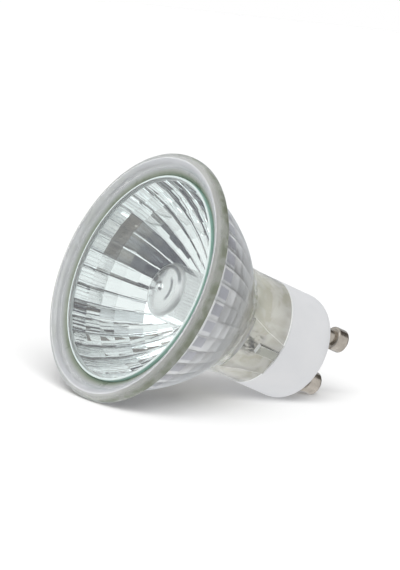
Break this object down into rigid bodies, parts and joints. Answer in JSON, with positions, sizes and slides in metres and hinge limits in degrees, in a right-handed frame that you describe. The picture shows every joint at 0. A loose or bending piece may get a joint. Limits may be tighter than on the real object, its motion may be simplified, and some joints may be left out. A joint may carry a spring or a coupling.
{
  "type": "gu10 spotlight bulb",
  "caption": "Mains halogen spotlight bulb: faceted glass reflector with a flat front glass, quartz burner, clear glass neck and a white ceramic twist-lock base with mushroom contact pins.",
  "frame": {"origin": "centre of the front rim's plane, the face that the bulb stands on", "axes": "+Z along the bulb's axis from the front rim to the contact pins, X along the line through the two pins"},
  "size_m": [0.05, 0.05, 0.0511],
  "materials": {
    "reflector_glass": "pressed clear glass, mirror coated inside",
    "clear_glass": "polished",
    "quartz": "clear fused quartz",
    "silicone": "cured clear sealant",
    "ceramic": "matt white",
    "nickel": "nickel plated brass",
    "tungsten": "drawn wire",
    "molybdenum": "bright foil and wire",
    "cement": "cured lamp cement"
  },
  "bodies": {
    "root": {"reflector": "reflector_glass", "front_glass": "clear_glass", "front_glass_sealant": "silicone", "ceramic_base": "ceramic", "contact_pin_a": "nickel", "contact_pin_b": "nickel", "burner_envelope": "quartz", "filament": "tungsten", "filament_support": "tungsten", "inner_lead_a": "tungsten", "inner_lead_b": "tungsten", "foil_a": "molybdenum", "foil_b": "molybdenum", "outer_lead_a": "molybdenum", "outer_lead_b": "molybdenum", "burner_cement": "cement", "base_cement": "cement"}
  },
  "joints": []
}
